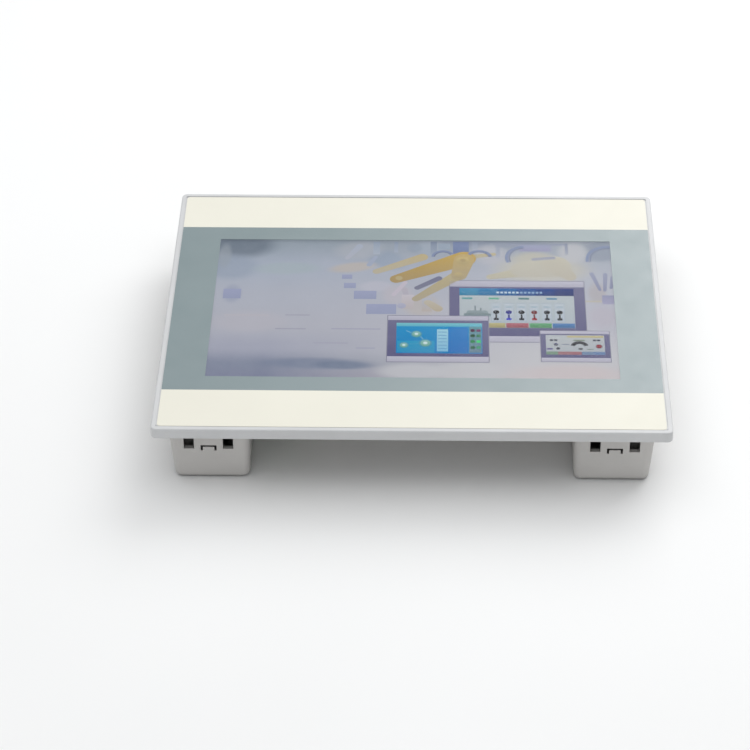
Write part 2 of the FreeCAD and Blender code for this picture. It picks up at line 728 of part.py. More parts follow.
def deep_outline(z, wall):
    """U-shaped outline of the deep part: its two feet flank the wiring bay."""
    half_x, half_y, bay = body_size(z)
    x, y, b, by = half_x - wall, half_y - wall, bay + wall, BAY_Y + wall
    out_r, in_r = (4.0, 3.0) if wall == 0 else (1.5, 3.0 + wall)
    corners = [
        (-x, -y, out_r),
        (-b, -y, out_r),
        (-b, by, in_r),
        (b, by, in_r),
        (b, -y, out_r),
        (x, -y, out_r),
        (x, y, out_r),
        (-x, y, out_r),
    ]
    return rounded_outline(corners, z)


def tray_outline(z, wall):
    half_x, half_y, _ = body_size(z)
    radius = 4.0 if wall == 0 else 1.5
    return rectangle(2 * (half_x - wall), 2 * (half_y - wall), radius, z)


def loft(outline, wall, heights):
    return Part.makeLoft([outline(z, wall) for z in heights], True, True)


def housing_shell():
    deep = loft(deep_outline, 0.0, [0.0, CREASE_Z, TRAY_Z])
    tray = loft(tray_outline, 0.0, [TRAY_Z, FLANGE_Z])
    outside = fuse([deep, tray])
    rear = [e for e in outside.Edges if e.BoundBox.ZMax < 1e-6]
    outside = outside.makeFillet(REAR_EDGE_R, rear)
    floor = TRAY_Z + TRAY_FLOOR
    inside = loft(deep_outline, WALL, [WALL, CREASE_Z, floor])
    tray_inside = loft(tray_outline, WALL, [floor, FLANGE_Z])
    return outside.cut([inside, tray_inside])


def clamp_cuts():
    """Hook holes and latch slots of the four clamp stations."""
    cuts = []
    for x in (-CLAMP_X, CLAMP_X):
        for side in (-1, 1):
            y = sorted((side * (BODY_HALF_Y - 2 * WALL), side * (BODY_HALF_Y + 1)))
            for hole in (-1, 1):
                middle = x + hole * CLAMP_HOLE_PITCH / 2
                cuts.append(box(around(middle, CLAMP_HOLE_W), y, CLAMP_HOLE_Z))
            cuts.append(box(around(x, LATCH_W), y, (LATCH_Z[1] - LATCH_SLOT, LATCH_Z[1])))
            for leg in (-1, 1):
                middle = x + leg * (LATCH_W - LATCH_SLOT) / 2
                cuts.append(box(around(middle, LATCH_SLOT), y, LATCH_Z))
    return cuts


def vent_cuts():
    """Slots in the back and in the top wall."""
    cuts = []
    for x in (-62.0, 62.0):
        for row in range(9):
            place = (x, 16.0 + 7.0 * row)
            cuts.append(plate(56.0, 2.4, 1.19, (-1.0, WALL + 1), place))
    for i in range(18):
        x = (i - 8.5) * 8.4
        if all(abs(x - post) > WELL_R + WELL_WALL + 2 for post, _ in WELL_SCREWS):
            cuts.append(box(around(x, 2.4), (BODY_HALF_Y - 2 * WALL, BODY_HALF_Y + 1), (7.0, 21.0)))
    return cuts


def connector_cutouts():
    heights = {
        "power": HEADER_Z,
        "dip": (BOARD_Z - 7.6, BOARD_Z),
        "serial_1": (SERIAL_Z - 6.25, BOARD_Z),
        "serial_2": (SERIAL_Z - 6.25, BOARD_Z),
        "ethernet": ETHERNET_Z,
        "usb_device": (BOARD_Z - 10.8, BOARD_Z),
        "usb_host": (BOARD_Z - 7.2, BOARD_Z - 0.4),
    }
    cuts = []
    for name, width in CONNECTOR_WIDTHS.items():
        low, high = heights[name]
        x = around(PLACE[name], width + 2 * CUTOUT_GAP)
        z = (low - CUTOUT_GAP, high + CUTOUT_GAP)
        cuts.append(box(x, (BAY_Y - 1, BAY_Y + WALL + 1), z))
    return cuts


LABEL_W, LABEL_H, LABEL_D = 78.0, 44.0, 0.3
LABEL_AT = (0.0, -18.0)


def rear_housing():
    shell = housing_shell()
    posts = [cylinder(WELL_R + WELL_WALL, V(x, y, WALL), FLANGE_Z - WALL) for x, y in WELL_SCREWS]
    allowed = loft(tray_outline, 1.0, [WALL, CREASE_Z, FLANGE_Z])
    posts = [post.common(allowed) for post in posts]
    shell = fuse([shell] + posts)
    cuts = clamp_cuts() + vent_cuts() + connector_cutouts()
    for x, y in WELL_SCREWS:
        cuts.append(cylinder(WELL_R, V(x, y, -1), WELL_Z + 1))
        cuts.append(cylinder(SCREW_CLEAR_R, V(x, y, 0), FLANGE_Z))
    for x, y in TRAY_SCREWS:
        cuts.append(cylinder(SCREW_CLEAR_R, V(x, y, TRAY_Z - 1), FLANGE_Z - TRAY_Z))
    cuts.append(plate(LABEL_W + 0.6, LABEL_H + 0.6, 2.0, (-1, LABEL_D), LABEL_AT))
    return shell.cut(cuts)


def rating_label():
    return plate(LABEL_W, LABEL_H, 1.8, (0.05, LABEL_D), LABEL_AT)


def housing_screws():
    top = FLANGE_Z + 3.0
    screws = [screw(x, y, WELL_Z, top) for x, y in WELL_SCREWS]
    screws += [screw(x, y, TRAY_Z, top) for x, y in TRAY_SCREWS]
    return bundle(screws)


# ---------------------------------------------------------------- export
SINGLE_PARTS = [
    front_bezel,
    overlay_mask,
    decor_strip_top,
    decor_strip_bottom,
    panel_seal,
    touch_sensor,
    touch_gasket,
    touch_ribbon,
    lcd_frame,
    lcd_cell,
    backlight_tray,
    lcd_ribbon,
    chassis_plate,
    chassis_screws,
    board_standoffs,
    main_board,
    board_screws,
    processor,
    processor_heatsink,
    memory_chips,
    filter_capacitors,
    power_inductors,
    coin_cell_holder,
    coin_cell,
    buzzer,
    lcd_socket,
    touch_socket,
    serial_jack_nuts,
    ethernet_shield,
    ethernet_insert,
    ethernet_contacts,
    usb_host_shell,
    usb_host_tongue,
    usb_device_shell,
    usb_device_insert,
    power_socket,
    power_pins,
    power_plug,
    plug_contacts,
    dip_switch,
    rear_housing,
    rating_label,
    housing_screws,
]


def all_parts():
    parts = {make.__name__: make() for make in SINGLE_PARTS}
    for name in ("serial_1", "serial_2"):
        parts[name + "_shell"] = serial_shell(name)
        parts[name + "_insert"] = serial_insert(name)
    for pole in range(POLES):
        parts[f"terminal_screw_{pole + 1}"] = terminal_screw(pole)
        parts[f"terminal_cage_{pole + 1}"] = terminal_cage(pole)
    for way in range(DIP_WAYS):
        parts[f"dip_slider_{way + 1}"] = dip_slider(way)
    return parts


os.makedirs("parts", exist_ok=True)
for node, shape in all_parts().items():
    broken = [s for s in shape.Solids if not s.isValid()]
    print(f"{node}: {len(shape.Solids)} solids, {shape.Volume:.1f} mm3", "BROKEN" if broken else "")
    shape.exportStep(f"parts/{node}.step")
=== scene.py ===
import json
import math
import random

import bmesh
import bpy
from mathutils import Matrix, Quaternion, Vector


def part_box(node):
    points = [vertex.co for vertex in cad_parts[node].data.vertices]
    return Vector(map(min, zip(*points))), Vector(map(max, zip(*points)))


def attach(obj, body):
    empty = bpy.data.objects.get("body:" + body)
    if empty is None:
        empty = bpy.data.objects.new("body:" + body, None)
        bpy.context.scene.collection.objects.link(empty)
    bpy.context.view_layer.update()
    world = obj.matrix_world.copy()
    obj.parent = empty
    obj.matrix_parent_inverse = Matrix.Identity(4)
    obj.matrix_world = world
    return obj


# Operator terminal lying on its back. Metres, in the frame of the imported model:
# +X is the screen's right, +Y points to its top edge and +Z out of the screen.

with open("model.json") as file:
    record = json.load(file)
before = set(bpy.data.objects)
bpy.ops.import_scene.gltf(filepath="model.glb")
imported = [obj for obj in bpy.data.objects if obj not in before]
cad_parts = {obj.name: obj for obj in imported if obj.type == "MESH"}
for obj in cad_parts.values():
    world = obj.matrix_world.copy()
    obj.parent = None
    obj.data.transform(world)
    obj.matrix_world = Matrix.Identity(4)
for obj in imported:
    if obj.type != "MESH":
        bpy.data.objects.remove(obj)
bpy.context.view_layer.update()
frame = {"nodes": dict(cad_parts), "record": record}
NODES = frame["nodes"]
MM = 0.001

# ---------------------------------------------------------------- places, from the frame
BEZEL_LOW, BEZEL_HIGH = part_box("front_bezel")
FRONT_Z = BEZEL_HIGH.z
CELL_LOW, CELL_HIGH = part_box("lcd_cell")
CELL_BORDER = Vector((5.35 * MM, 8.05 * MM, 0))  # from the cell's edge to its lit area
PICTURE_LOW = CELL_LOW + CELL_BORDER
PICTURE_SIZE = CELL_HIGH - CELL_LOW - 2 * CELL_BORDER
PICTURE_Z = CELL_HIGH.z
ASPECT = PICTURE_SIZE.x / PICTURE_SIZE.y
LAYER = 0.010 * MM  # pitch of the painted layers of the screen picture
LAYER_FILL = 0.8  # part of that pitch that a painted shape takes up


# ---------------------------------------------------------------- materials
def linear(red, green, blue):
    """Scene colour of an sRGB colour given as 0 to 255."""
    values = []
    for value in (red, green, blue):
        v = value / 255
        values.append(v / 12.92 if v <= 0.04045 else ((v + 0.055) / 1.055) ** 2.4)
    return (*values, 1.0)


MIX_INPUTS, MIX_OUTPUT = (0, 6, 7), 2  # factor, A and B, and the result, of a colour mix


class Finish:
    """A material with a Principled shader, and short ways to add nodes to it."""

    def __init__(self, name, **sockets):
        self.material = bpy.data.materials.new(name)
        self.material.use_nodes = True
        self.tree = self.material.node_tree
        self.shader = self.tree.nodes["Principled BSDF"]
        self.output = self.tree.nodes["Material Output"]
        self.place = self.add("TexCoord").outputs["Object"]
        self.set(self.shader, sockets)

    def feed(self, socket, value):
        """Links another node's output to the socket, or sets it to a plain value."""
        if isinstance(value, bpy.types.NodeSocket):
            self.tree.links.new(value, socket)
        else:
            socket.default_value = value

    def set(self, node, sockets):
        for name, value in sockets.items():
            self.feed(node.inputs[name.replace("_", " ")], value)

    def add(self, kind, settings=None, **sockets):
        node = self.tree.nodes.new("ShaderNode" + kind)
        for name, value in (settings or {}).items():
            setattr(node, name, value)
        self.set(node, sockets)
        return node

    def noise(self, scale, detail=2.0, roughness=0.5):
        """Noise with a grain of about 1/scale metres."""
        node = self.add("TexNoise", Vector=self.place, Scale=scale, Detail=detail)
        self.set(node, {"Roughness": roughness})
        return node.outputs["Fac"]

    def ranged(self, value, low, high, from_low=0.3, from_high=0.7):
        """The value, moved from the range of its last two figures to low and high."""
        node = self.add("MapRange", Value=value, From_Min=from_low, From_Max=from_high)
        self.set(node, {"To Min": low, "To Max": high})
        return node.outputs["Result"]

    def math(self, operation, first, second=0.0):
        node = self.add("Math", {"operation": operation})
        self.feed(node.inputs[0], first)
        self.feed(node.inputs[1], second)
        return node.outputs["Value"]

    def vector_math(self, operation, first, second):
        node = self.add("VectorMath", {"operation": operation})
        self.feed(node.inputs[0], first)
        self.feed(node.inputs[1], second)
        return node

    def mix(self, factor, first, second, blend="MIX"):
        node = self.add("Mix", {"data_type": "RGBA", "blend_type": blend})
        for index, value in zip(MIX_INPUTS, (factor, first, second)):
            self.feed(node.inputs[index], value)
        return node.outputs[MIX_OUTPUT]

    def bump(self, height, strength, distance, normal=None):
        node = self.add("Bump", Height=height, Strength=strength, Distance=distance)
        if normal:
            self.set(node, {"Normal": normal})
        return node.outputs["Normal"]

    def edges(self, radius):
        """0 on flat faces, rising to 1 where a face meets a sharp edge."""
        rounded = self.add("Bevel", {"samples": 4}, Radius=radius).outputs["Normal"]
        flat = self.add("NewGeometry").outputs["Normal"]
        likeness = self.vector_math("DOT_PRODUCT", rounded, flat).outputs["Value"]
        return self.ranged(likeness, 1.0, 0.0, 0.80, 0.99)


def shade(colour, factor):
    """A scene colour made darker or lighter."""
    return tuple(min(c * factor, 1.0) for c in colour[:3]) + (1.0,)


def moulded(name, colour, grain=2600.0, depth=0.02, roughness=0.42, wear=0.25):
    """Moulded plastic: eroded micro-texture, faint mottling and paler worn edges."""
    m = Finish(name)
    m.set(m.shader, {"Specular IOR Level": 0.45})
    mottle = m.noise(38.0, 4.0, 0.6)
    base = m.mix(m.ranged(mottle, 0.0, 1.0), shade(colour, 0.965), shade(colour, 1.03))
    patches = m.ranged(m.noise(420.0, 3.0), 0.0, wear, 0.4, 0.6)
    worn = m.math("MULTIPLY", m.edges(0.35 * MM), patches)
    base = m.mix(worn, base, shade(colour, 1.35))
    rough = m.ranged(m.noise(240.0, 3.0, 0.6), roughness - 0.05, roughness + 0.07)
    grain_height = m.math("ADD", m.noise(grain, 2.0, 0.7), m.noise(grain / 4, 1.0))
    m.set(m.shader, {"Base Color": base, "Roughness": rough})
    m.set(m.shader, {"Normal": m.bump(grain_height, 0.35, depth * MM)})
    return m, base


def moulded_plastic(*settings, **named):
    return moulded(*settings, **named)[0].material


GROOVE_INSET = 2.9 * MM  # from the bezel's edge to the middle of the groove
GROOVE_HALF_W = 0.34 * MM


def bezel_plastic(name, colour):
    """Bezel moulding, with painted shade darkening the narrow groove between its rim and the films."""
    m, base = moulded(name, colour, depth=0.012, roughness=0.36)
    split = m.add("SeparateXYZ", Vector=m.place)
    half = (BEZEL_HIGH - BEZEL_LOW) / 2
    out_x = m.math("SUBTRACT", m.math("ABSOLUTE", split.outputs["X"]), half.x - GROOVE_INSET)
    out_y = m.math("SUBTRACT", m.math("ABSOLUTE", split.outputs["Y"]), half.y - GROOVE_INSET)
    away = m.math("ABSOLUTE", m.math("MAXIMUM", out_x, out_y))
    groove = m.ranged(away, 1.0, 0.0, GROOVE_HALF_W * 0.6, GROOVE_HALF_W)
    on_top = m.math("GREATER_THAN", split.outputs["Z"], FRONT_Z - 0.3 * MM)
    # Painted shade: the groove between the rim and the films is darkened on the front face.
    dust_and_painted_shade = m.math("MULTIPLY", m.math("MULTIPLY", groove, on_top), 0.75)
    m.set(m.shader, {"Base Color": m.mix(dust_and_painted_shade, base, shade(colour, 0.45))})
    return m.material


def housing_plastic(name, colour):
    """Housing moulding, coarser in grain, with painted shade darkening its holes, slots and corners."""
    m, base = moulded(name, colour, grain=1900.0, depth=0.03, roughness=0.5)
    # Painted shade: ambient occlusion darkens the plastic inside holes, slots and corners.
    open_sky = m.add("AmbientOcclusion", {"samples": 6}, Distance=5.0 * MM).outputs["AO"]
    painted_recess_shade = m.ranged(open_sky, 0.85, 0.0, 0.15, 0.75)
    m.set(m.shader, {"Base Color": m.mix(painted_recess_shade, base, shade(colour, 0.10))})
    return m.material


def printed_film(name, colour, roughness, specular=0.5):
    """Screen-printed polyester film: fine embossed grain, faint clouding, uneven gloss."""
    m = Finish(name)
    m.set(m.shader, {"Specular IOR Level": specular})
    cloud = m.ranged(m.noise(22.0, 3.0, 0.55), 0.0, 1.0)
    speck = m.ranged(m.noise(5200.0, 1.0), 0.0, 1.0)
    base = m.mix(cloud, shade(colour, 0.985), shade(colour, 1.015))
    base = m.mix(m.math("MULTIPLY", speck, 0.35), base, shade(colour, 0.94))
    smear = m.noise(60.0, 5.0, 0.65)
    rough = m.ranged(smear, roughness - 0.04, roughness + 0.06)
    height = m.math("ADD", m.noise(3400.0, 2.0, 0.6), m.math("MULTIPLY", m.noise(90.0), 2.5))
    m.set(m.shader, {"Base Color": base, "Roughness": rough})
    m.set(m.shader, {"Normal": m.bump(height, 0.25, 0.012 * MM)})
    return m.material


def rubber(name, colour):
    """Black rubber or foam with a little dust in its pores."""
    m = Finish(name)
    m.set(m.shader, {"Specular IOR Level": 0.35})
    dust_and_painted_shade = m.ranged(m.noise(700.0, 4.0, 0.7), 0.0, 0.35, 0.5, 0.75)
    base = m.mix(dust_and_painted_shade, colour, shade(colour, 2.2))
    rough = m.ranged(m.noise(160.0), 0.62, 0.8)
    m.set(m.shader, {"Base Color": base, "Roughness": rough})
    m.set(m.shader, {"Normal": m.bump(m.noise(1500.0), 0.4, 0.02 * MM)})
    return m.material


def metal(name, colour, roughness, streak=(1.0, 14.0, 14.0), grain=260.0, dull=0.9):
    """Plated or drawn metal: fine drawn streaks, faint tarnish, and a painted highlight that brightens
    its edges.
    """
    m = Finish(name)
    m.set(m.shader, {"Metallic": 1.0})
    stretched = m.add("Mapping", Vector=m.place, Scale=streak).outputs["Vector"]
    lines = m.add("TexNoise", Vector=stretched, Scale=grain, Detail=3.0).outputs["Fac"]
    tarnish = m.ranged(m.noise(130.0, 4.0, 0.65), 0.0, 1.0, 0.35, 0.7)
    base = m.mix(tarnish, colour, shade(colour, dull * 0.86))
    # Painted highlight: sharp edges are made brighter.
    base = m.mix(m.math("MULTIPLY", m.edges(0.2 * MM), 0.5), base, shade(colour, 1.25))
    drawn = m.ranged(lines, roughness - 0.06, roughness + 0.08)
    rough = m.math("ADD", drawn, m.math("MULTIPLY", tarnish, 0.08))
    m.set(m.shader, {"Base Color": base, "Roughness": rough})
    m.set(m.shader, {"Normal": m.bump(lines, 0.2, 0.01 * MM)})
    return m.material


GLOSS_SHARE = 0.25  # part of the full reflection that the anti-glare touch film keeps


def clear_sensor(name):
    """Clear touch film on glass: a thin gloss, from outside only, over what lies beneath."""
    m = Finish(name)
    m.tree.nodes.remove(m.shader)
    clear = m.add("BsdfTransparent", Color=(0.97, 0.985, 0.985, 1.0)).outputs["BSDF"]
    smudge = m.ranged(m.noise(34.0, 5.0, 0.6), 0.10, 0.20)
    normal = m.bump(m.noise(2400.0, 1.0), 0.12, 0.01 * MM)
    gloss = m.add("BsdfGlossy", Roughness=smudge, Normal=normal).outputs["BSDF"]
    film = m.add("Fresnel", IOR=1.45).outputs["Fac"]
    outside = m.math("SUBTRACT", GLOSS_SHARE, m.add("NewGeometry").outputs["Backfacing"])
    mixed = m.add("MixShader", Fac=m.math("MULTIPLY", film, m.math("MAXIMUM", outside, 0.0)))
    m.feed(mixed.inputs[1], clear)
    m.feed(mixed.inputs[2], gloss)
    m.feed(m.output.inputs["Surface"], mixed.outputs["Shader"])
    return m.material


GLOW = 0.82
UNLIT = (0.18, 0.18, 0.18, 1.0)  # the picture's own colour in room light, beside its glow
MIST = linear(188, 188, 200)


def lit(m, picture):
    """Makes the finish show a lit picture: part glows, part is the panel's own reflection."""
    dim = m.mix(1.0, picture, UNLIT, "MULTIPLY")
    m.set(m.shader, {"Base Color": dim, "Emission Color": picture, "Emission Strength": GLOW})
    m.set(m.shader, {"Specular IOR Level": 0.08})
    m.set(m.shader, {"Roughness": m.ranged(m.noise(900.0, 1.0), 0.42, 0.5)})


def misted(m, colour, amount):
    """The colour seen through uneven mist."""
    mist = m.ranged(m.noise(70.0, 4.0, 0.6), 0.0, 1.0)
    return m.mix(m.math("MULTIPLY", mist, amount), colour, MIST)


# Haze of the picture: colours up the left edge and up the right edge, by height.
HAZE_LEFT = [
    (0.00, (122, 125, 148)),
    (0.10, (127, 132, 152)),
    (0.22, (160, 160, 176)),
    (0.38, (172, 171, 182)),
    (0.58, (171, 172, 184)),
    (0.80, (164, 169, 184)),
    (1.00, (142, 151, 162)),
]
HAZE_RIGHT = [
    (0.00, (193, 183, 186)),
    (0.14, (187, 184, 189)),
    (0.42, (177, 175, 186)),
    (0.72, (172, 173, 185)),
    (1.00, (152, 157, 169)),
]
# Soft shapes in the haze: middle and half size as parts of the picture, turn in degrees,
# colour and strength. The far plant is only pale shapes in mist.
SOFT_SHAPES = [
    (0.060, 0.97, 0.110, 0.13, 0, (102, 112, 126), 0.85),
    (0.040, 0.80, 0.090, 0.12, 0, (140, 150, 168), 0.60),
    (0.500, 0.06, 0.110, 0.07, 0, (190, 188, 193), 0.80),
    (0.270, 0.11, 0.170, 0.05, -2, (118, 126, 148), 0.75),
    (0.430, 0.86, 0.060, 0.10, 20, (140, 152, 172), 0.60),
    (0.970, 0.93, 0.060, 0.10, 0, (132, 140, 156), 0.70),
    (0.700, 0.99, 0.180, 0.05, 0, (134, 142, 160), 0.70),
    (0.020, 0.88, 0.022, 0.12, 0, (150, 156, 165), 0.60),
    (0.048, 0.60, 0.030, 0.085, 0, (150, 154, 174), 0.75),
    (0.100, 0.40, 0.120, 0.10, 4, (181, 175, 184), 0.45),
    (0.330, 0.10, 0.090, 0.035, -3, (110, 120, 142), 0.80),
    (0.180, 0.79, 0.110, 0.06, 5, (160, 171, 176), 0.60),
    (0.360, 0.93, 0.080, 0.09, -12, (172, 172, 180), 0.55),
    (0.345, 0.80, 0.080, 0.045, 24, (183, 172, 165), 0.80),
    (0.405, 0.66, 0.055, 0.05, 30, (183, 180, 192), 0.70),
    (0.460, 0.60, 0.050, 0.10, 0, (184, 176, 184), 0.65),
    (0.520, 0.52, 0.060, 0.10, 0, (181, 172, 170), 0.80),
    (0.540, 0.95, 0.050, 0.07, 0, (158, 166, 180), 0.75),
    (0.500, 0.95, 0.025, 0.05, 0, (140, 150, 166), 0.60),
    (0.690, 0.90, 0.055, 0.10, 0, (180, 178, 186), 0.80),
    (0.820, 0.79, 0.150, 0.130, 0, (186, 181, 172), 0.95),
    (0.800, 0.87, 0.070, 0.070, 0, (184, 178, 166), 0.85),
    (0.900, 0.92, 0.050, 0.10, 0, (186, 184, 188), 0.80),
    (0.955, 0.62, 0.030, 0.10, 0, (168, 160, 164), 0.75),
    (0.965, 0.45, 0.045, 0.10, 0, (176, 168, 180), 0.70),
    (0.880, 0.06, 0.140, 0.07, 0, (194, 181, 183), 0.80),
    (0.640, 0.06, 0.120, 0.09, 0, (190, 188, 192), 0.70),
]


SOFT_EDGE = 0.55  # part of a soft shape's half size over which it fades out
FAR = 1e3  # a soft shape's half size square to the picture, where it has no end


def haze(m):
    """Colour of the misty picture at the surface's own place in it."""
    away = m.vector_math("SUBTRACT", m.place, PICTURE_LOW).outputs["Vector"]
    size = (PICTURE_SIZE.x, PICTURE_SIZE.y, 1.0)
    spot = m.vector_math("DIVIDE", away, size).outputs["Vector"]
    split = m.add("SeparateXYZ", Vector=spot)
    sides = []
    for stops in (HAZE_LEFT, HAZE_RIGHT):
        ramp = m.add("ValToRGB", Fac=split.outputs["Y"])
        ramp.color_ramp.interpolation = "EASE"
        while len(ramp.color_ramp.elements) < len(stops):
            ramp.color_ramp.elements.new(0.5)
        for element, (height, colour) in zip(ramp.color_ramp.elements, stops):
            element.position = height
            element.color = linear(*colour)
        sides.append(ramp.outputs["Color"])
    across = m.ranged(split.outputs["X"], 0.0, 1.0, 0.15, 0.75)
    colour = m.mix(across, *sides)
    for u, v, half_u, half_v, turn, tint, strength in SOFT_SHAPES:
        local = m.add("Mapping", {"vector_type": "TEXTURE"}, Vector=spot, Location=(u, v, 0))
        m.set(local, {"Rotation": (0, 0, math.radians(turn)), "Scale": (half_u, half_v, FAR)})
        ball = m.add("TexGradient", {"gradient_type": "SPHERICAL"}, Vector=local.outputs["Vector"])
        soft = m.add("MapRange", {"interpolation_type": "SMOOTHSTEP"}, Value=ball.outputs["Fac"])
        m.set(soft, {"From Min": 0.0, "From Max": SOFT_EDGE, "To Max": strength})
        colour = m.mix(soft.outputs["Result"], colour, linear(*tint))
    return misted(m, colour, 0.10)


def display_finish(name):
    """Finish of the display cell: the hazy background of the picture."""
    m = Finish(name)
    lit(m, haze(m))
    return m.material


PAINT = "paint"  # colour attribute of the painted shapes


def picture_finish(name):
    """Finish of painted shapes: their own colours, veiled by the same mist as the haze."""
    m = Finish(name)
    paint = m.add("VertexColor", {"layer_name": PAINT}).outputs["Color"]
    lit(m, misted(m, paint, 0.06))
    return m.material


def circuit_board(name):
    """Green solder mask with copper tracks and ground fill showing faintly through it."""
    m = Finish(name)
    m.set(m.shader, {"Specular IOR Level": 0.5, "Coat Weight": 0.3, "Coat Roughness": 0.15})
    cells = m.add("TexBrick", Vector=m.place, Scale=260.0)
    m.set(cells, {"Color1": (1, 1, 1, 1), "Color2": (0.2, 0.2, 0.2, 1), "Mortar": (0, 0, 0, 1)})
    m.set(cells, {"Mortar Size": 0.09, "Row Height": 0.12, "Brick Width": 1.6})
    tracks = cells.outputs["Color"]
    base = m.mix(tracks, (0.008, 0.07, 0.028, 1), (0.02, 0.15, 0.055, 1))
    height = m.ranged(tracks, 0.0, 1.0, 0.0, 1.0)
    m.set(m.shader, {"Base Color": base, "Roughness": m.ranged(m.noise(300.0), 0.25, 0.4)})
    m.set(m.shader, {"Normal": m.bump(height, 0.3, 0.03 * MM)})
    return m.material


def ribbon_film(name):
    """Amber film with fine conductors running along it."""
    m = Finish(name)
    wave = m.add("TexWave", {"bands_direction": "X"}, Vector=m.place, Scale=320.0, Distortion=0.0)
    lines = m.ranged(wave.outputs["Fac"], 0.0, 1.0, 0.45, 0.55)
    base = m.mix(lines, (0.42, 0.16, 0.03, 1), (0.62, 0.30, 0.08, 1))
    m.set(m.shader, {"Base Color": base, "Roughness": m.ranged(m.noise(200.0), 0.22, 0.34)})
    m.set(m.shader, {"Normal": m.bump(lines, 0.3, 0.03 * MM)})
    return m.material


def floor_finish():
    """Pale painted studio floor."""
    m = Finish("studio_floor")
    cloud = m.ranged(m.noise(3.0, 3.0), 0.0, 1.0)
    base = m.mix(cloud, (0.88, 0.88, 0.875, 1), (0.91, 0.91, 0.905, 1))
    m.set(m.shader, {"Base Color": base, "Roughness": m.ranged(m.noise(400.0, 3.0), 0.6, 0.75)})
    return m.material


LIGHT_GREY = (0.60, 0.605, 0.61, 1.0)
WARM_GREY = (0.545, 0.53, 0.51, 1.0)
NEAR_BLACK, BLACK = (0.022, 0.022, 0.024, 1.0), (0.017, 0.017, 0.019, 1.0)
OFF_WHITE = (0.74, 0.73, 0.69, 1.0)
LEAF_GREEN, BRICK_RED = (0.018, 0.20, 0.05, 1.0), (0.38, 0.02, 0.018, 1.0)

FINISHES = {
    "bezel_plastic": bezel_plastic("bezel_plastic", LIGHT_GREY),
    "housing_plastic": housing_plastic("housing_plastic", WARM_GREY),
    "mask_film": printed_film("mask_film", (0.200, 0.258, 0.270, 1.0), 0.34, 1.0),
    "decor_film": printed_film("decor_film", (0.80, 0.78, 0.68, 1.0), 0.40, 0.4),
    "seal_rubber": rubber("seal_rubber", (0.018, 0.018, 0.02, 1.0)),
    "gasket_foam": rubber("gasket_foam", (0.03, 0.03, 0.03, 1.0)),
    "touch_glass": clear_sensor("touch_glass"),
    "display": display_finish("display"),
    "ribbon_film": ribbon_film("ribbon_film"),
    "sheet_steel": metal("sheet_steel", (0.58, 0.60, 0.62, 1.0), 0.38, dull=0.85),
    "screw_steel": metal("screw_steel", (0.60, 0.60, 0.60, 1.0), 0.28, (8.0, 8.0, 1.0)),
    "connector_metal": metal("connector_metal", (0.66, 0.66, 0.64, 1.0), 0.26),
    "brass": metal("brass", (0.72, 0.50, 0.18, 1.0), 0.25, (1.0, 1.0, 14.0)),
    "gold_contact": metal("gold_contact", (0.85, 0.60, 0.20, 1.0), 0.2),
    "aluminium": metal("aluminium", (0.74, 0.75, 0.77, 1.0), 0.34),
    "cell_steel": metal("cell_steel", (0.70, 0.69, 0.66, 1.0), 0.18, (4.0, 4.0, 1.0)),
    "circuit_board": circuit_board("circuit_board"),
    "chip_plastic": moulded_plastic("chip_plastic", NEAR_BLACK, 4200.0, 0.015, 0.5),
    "black_plastic": moulded_plastic("black_plastic", BLACK, 3000.0, 0.015, 0.38),
    "white_plastic": moulded_plastic("white_plastic", OFF_WHITE, 3200.0, 0.015, 0.4),
    "terminal_plastic": moulded_plastic("terminal_plastic", LEAF_GREEN, 2400.0, 0.02, 0.4),
    "switch_plastic": moulded_plastic("switch_plastic", BRICK_RED, 3000.0, 0.015, 0.36),
    "label_film": printed_film("label_film", (0.62, 0.63, 0.64, 1.0), 0.3),
}
PICTURE = picture_finish("screen_picture")


def paint_frame():
    """Gives every CAD node the finish of its material slot."""
    for part in frame["record"]["subparts"]:
        mesh = NODES[part["node"]].data
        finish = FINISHES[part["material_slot"]]
        if not mesh.materials:
            mesh.materials.append(finish)
        for i in range(len(mesh.materials)):
            mesh.materials[i] = finish


def make_piece(name, mesh, material):
    """Turns a finished bmesh into a piece of the scene."""
    bmesh.ops.recalc_face_normals(mesh, faces=mesh.faces)
    data = bpy.data.meshes.new(name)
    mesh.to_mesh(data)
    mesh.free()
    data.materials.append(material)
    piece = bpy.data.objects.new(name, data)
    bpy.context.scene.collection.objects.link(piece)
    return piece


# ---------------------------------------------------------------- screen picture
ARC_STEPS, END_STEPS = 28, 12  # sides of a curved band, and of the round end of a link


